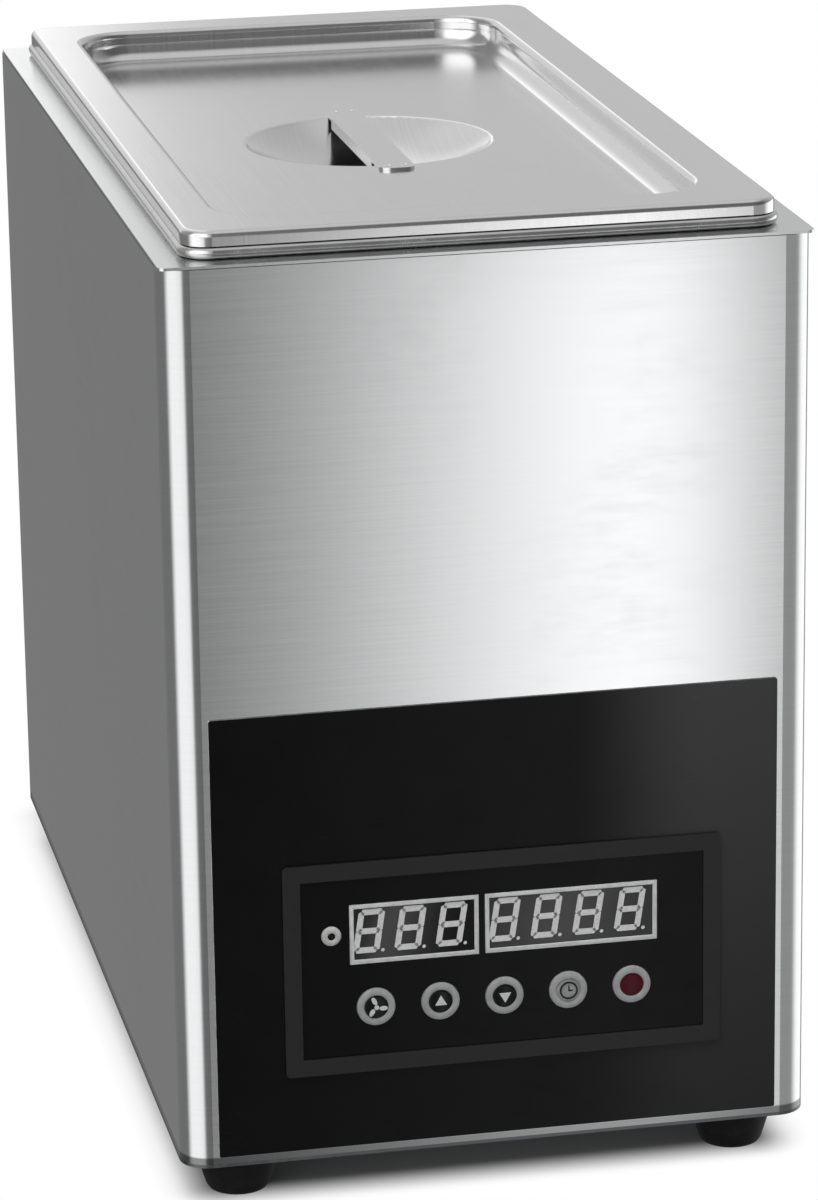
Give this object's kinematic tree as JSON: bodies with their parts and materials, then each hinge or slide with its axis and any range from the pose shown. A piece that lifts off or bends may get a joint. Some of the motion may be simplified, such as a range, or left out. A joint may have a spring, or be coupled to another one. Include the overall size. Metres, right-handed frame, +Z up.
{
  "type": "egg boiler",
  "caption": "Tabletop electric egg boiler: steel cabinet, lift-off pressed lid, wire egg basket in a water tank, front keypad controller and rear drain valve.",
  "frame": {"origin": "centre of the whole footprint at floor level, on the feet's undersides", "axes": "+Z up, +X to the right seen from the front, +Y to the back; the front faces -Y"},
  "size_m": [0.27, 0.552, 0.4175],
  "materials": {
    "cabinet_steel": "fine vertical brush, satin",
    "deck_steel": "satin",
    "base_steel": "plain galvanised",
    "tank_steel": "bright drawn",
    "lid_steel": "bright pressed",
    "basket_wire": "electropolished wire",
    "foot_rubber": "matt moulded",
    "zinc_fasteners": "zinc plated",
    "heater_sheath": "heat darkened",
    "silicone_seal": "matt silicone",
    "brass_fittings": "turned",
    "probe_steel": "turned and polished",
    "limiter_phenolic": "moulded phenolic",
    "lever_vinyl": "dipped vinyl",
    "black_plate": "smooth gloss",
    "bezel_plastic": "fine satin moulding",
    "face_plastic": "smooth film",
    "display_plastic": "light grey frame",
    "lamp_lens": "frosted lens",
    "key_plastic": "satin silver moulding",
    "board_laminate": "solder mask",
    "black_nylon": "moulded nylon",
    "transformer_core": "varnished laminations",
    "relay_plastic": "moulded",
    "heatsink_aluminium": "extruded"
  },
  "bodies": {
    "cabinet": {"cabinet_wrap": "cabinet_steel", "top_deck": "deck_steel", "back_panel": "cabinet_steel", "base_plate": "base_steel", "foot_front_left": "foot_rubber", "foot_front_right": "foot_rubber", "foot_back_left": "foot_rubber", "foot_back_right": "foot_rubber", "foot_screws": "zinc_fasteners", "foot_nuts": "zinc_fasteners", "back_screws": "zinc_fasteners", "water_tank": "tank_steel", "heater_guard": "tank_steel", "heating_element": "heater_sheath", "heater_seals": "silicone_seal", "heater_nuts": "brass_fittings", "temperature_probe": "probe_steel", "probe_nut": "brass_fittings", "dry_boil_thermostat": "limiter_phenolic", "drain_pipe": "probe_steel", "pipe_locknut": "brass_fittings", "valve_body": "brass_fittings", "valve_end": "brass_fittings", "front_plate": "black_plate", "control_bezel": "bezel_plastic", "control_face": "face_plastic", "temperature_display": "display_plastic", "timer_display": "display_plastic", "heating_lamp": "lamp_lens", "control_board": "board_laminate", "key_switches": "black_nylon", "board_screws": "zinc_fasteners", "buzzer": "black_nylon", "component_tray": "base_steel", "tray_screws": "zinc_fasteners", "transformer": "transformer_core", "power_relay": "relay_plastic", "relay_heatsink": "heatsink_aluminium", "terminal_block": "relay_plastic", "cable_gland": "black_nylon", "gland_cap": "black_nylon", "gland_locknut": "black_nylon", "earth_stud": "brass_fittings", "earth_nuts": "brass_fittings"},
    "lid": {"lid_shell": "lid_steel", "lid_strap": "lid_steel"},
    "basket": {"basket_floor": "basket_wire", "basket_walls": "basket_wire", "basket_band": "basket_wire", "basket_handles": "basket_wire"},
    "drain_handle": {"drain_ball": "probe_steel", "drain_stem": "probe_steel", "drain_lever": "probe_steel", "lever_grip": "lever_vinyl", "lever_nut": "zinc_fasteners"},
    "key_settings": {"key_settings": "key_plastic"},
    "key_up": {"key_up": "key_plastic"},
    "key_down": {"key_down": "key_plastic"},
    "key_timer": {"key_timer": "key_plastic"},
    "key_power": {"key_power": "key_plastic"}
  },
  "joints": [
    {"name": "basket_lift", "type": "slide", "parent": "cabinet", "child": "basket", "axis": [0, 0, 1], "range_m": [0, 0.18]},
    {"name": "lid_lift", "type": "slide", "parent": "basket", "child": "lid", "axis": [0, 0, 1], "range_m": [0, 0.18]},
    {"name": "drain_turn", "type": "hinge", "parent": "cabinet", "child": "drain_handle", "pos_m": [-0.06, 0.246, 0.191], "axis": [0, 0, 1], "range_deg": [0, 90]},
    {"name": "key_settings_press", "type": "slide", "parent": "cabinet", "child": "key_settings", "axis": [0, 1, 0], "range_m": [0, 0.0008], "stiffness_N_per_m": 900, "springref_m": -0.0003},
    {"name": "key_up_press", "type": "slide", "parent": "cabinet", "child": "key_up", "axis": [0, 1, 0], "range_m": [0, 0.0008], "stiffness_N_per_m": 900, "springref_m": -0.0003},
    {"name": "key_down_press", "type": "slide", "parent": "cabinet", "child": "key_down", "axis": [0, 1, 0], "range_m": [0, 0.0008], "stiffness_N_per_m": 900, "springref_m": -0.0003},
    {"name": "key_timer_press", "type": "slide", "parent": "cabinet", "child": "key_timer", "axis": [0, 1, 0], "range_m": [0, 0.0008], "stiffness_N_per_m": 900, "springref_m": -0.0003},
    {"name": "key_power_press", "type": "slide", "parent": "cabinet", "child": "key_power", "axis": [0, 1, 0], "range_m": [0, 0.0008], "stiffness_N_per_m": 900, "springref_m": -0.0003}
  ]
}
